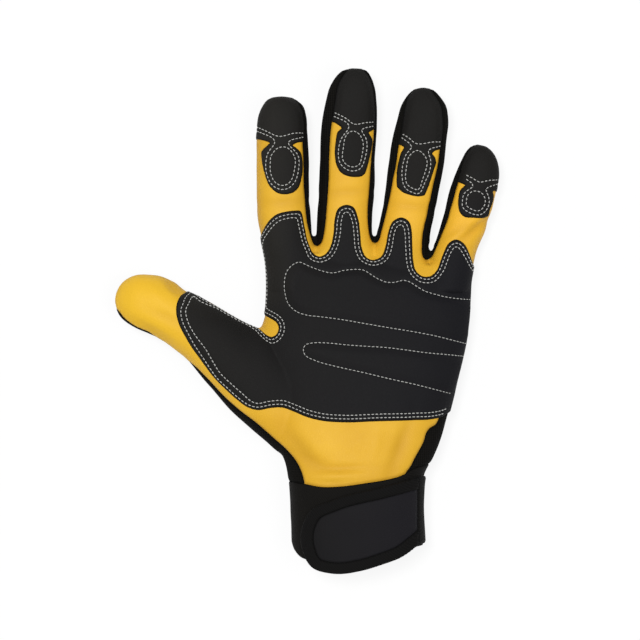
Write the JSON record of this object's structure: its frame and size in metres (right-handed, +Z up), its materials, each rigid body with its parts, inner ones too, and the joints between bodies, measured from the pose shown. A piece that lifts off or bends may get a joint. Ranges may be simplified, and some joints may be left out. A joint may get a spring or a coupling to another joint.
{
  "type": "leather gardening glove",
  "caption": "Left-hand work glove lying palm up: leather front, black palm and fingertip patches, fabric back and side strips, wrist cuff with a closing strap.",
  "frame": {"origin": "on the floor under the middle of the glove's outline", "axes": "+X to the little finger, +Y to the fingertips, +Z up out of the palm"},
  "size_m": [0.1922, 0.2511, 0.043],
  "materials": {
    "yellow_leather": "smooth grain, matt",
    "black_knit": "stretch knit",
    "black_synthetic_leather": "fine grain, matt",
    "black_neoprene": "fabric-faced foam",
    "charcoal_panel": "smooth, matt",
    "black_binding": "folded tape",
    "grey_thread": "sewing thread"
  },
  "bodies": {
    "root": {"palm_leather": "yellow_leather", "back_fabric": "black_knit", "fourchette_index_middle": "black_knit", "fourchette_middle_ring": "black_knit", "fourchette_ring_little": "black_knit", "palm_patch": "black_synthetic_leather", "fingertip_patch_index": "black_synthetic_leather", "fingertip_patch_middle": "black_synthetic_leather", "fingertip_patch_ring": "black_synthetic_leather", "fingertip_patch_little": "black_synthetic_leather", "cuff": "black_neoprene", "strap_panel": "charcoal_panel", "strap_binding": "black_binding", "strap_welt": "black_binding"}
  },
  "joints": []
}
